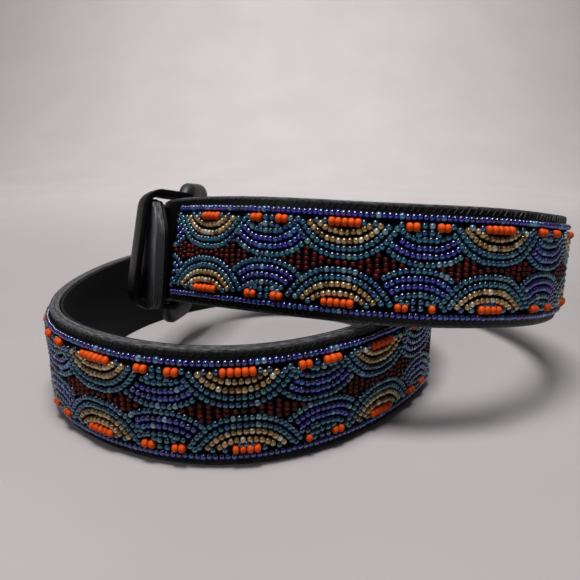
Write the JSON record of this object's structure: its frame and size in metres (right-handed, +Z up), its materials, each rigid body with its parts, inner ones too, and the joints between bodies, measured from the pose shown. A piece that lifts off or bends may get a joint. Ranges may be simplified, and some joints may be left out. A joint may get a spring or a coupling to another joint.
{
  "type": "beaded leather belt",
  "caption": "Leather belt with a bead-embroidered outer face, lining, keeper loop and pin buckle, fastened and standing on its edge in two overlapping turns.",
  "frame": {"origin": "on the surface that the belt stands on, under the middle of the whole belt", "axes": "+Z up along the strap's width; +X to the picture's right, along the longest extent; +Y away from the viewer"},
  "size_m": [0.214, 0.1874, 0.0818],
  "materials": {
    "leather": "black bridle leather, matt grain with grey burnished edges",
    "lining": "smooth matt black lining leather",
    "beads_navy": "iridescent navy and violet seed beads",
    "beads_teal": "iridescent teal seed beads",
    "beads_gold": "metallic gold and bronze seed beads",
    "beads_orange": "opaque orange beads, larger than the others",
    "beads_maroon": "dull dark red seed beads",
    "black_metal": "matt black lacquered zinc"
  },
  "bodies": {
    "root": {"strap": "leather", "lining": "lining", "bead_panel": "beads_navy", "keeper": "leather", "buckle_frame": "black_metal", "buckle_prong": "black_metal"}
  },
  "joints": []
}
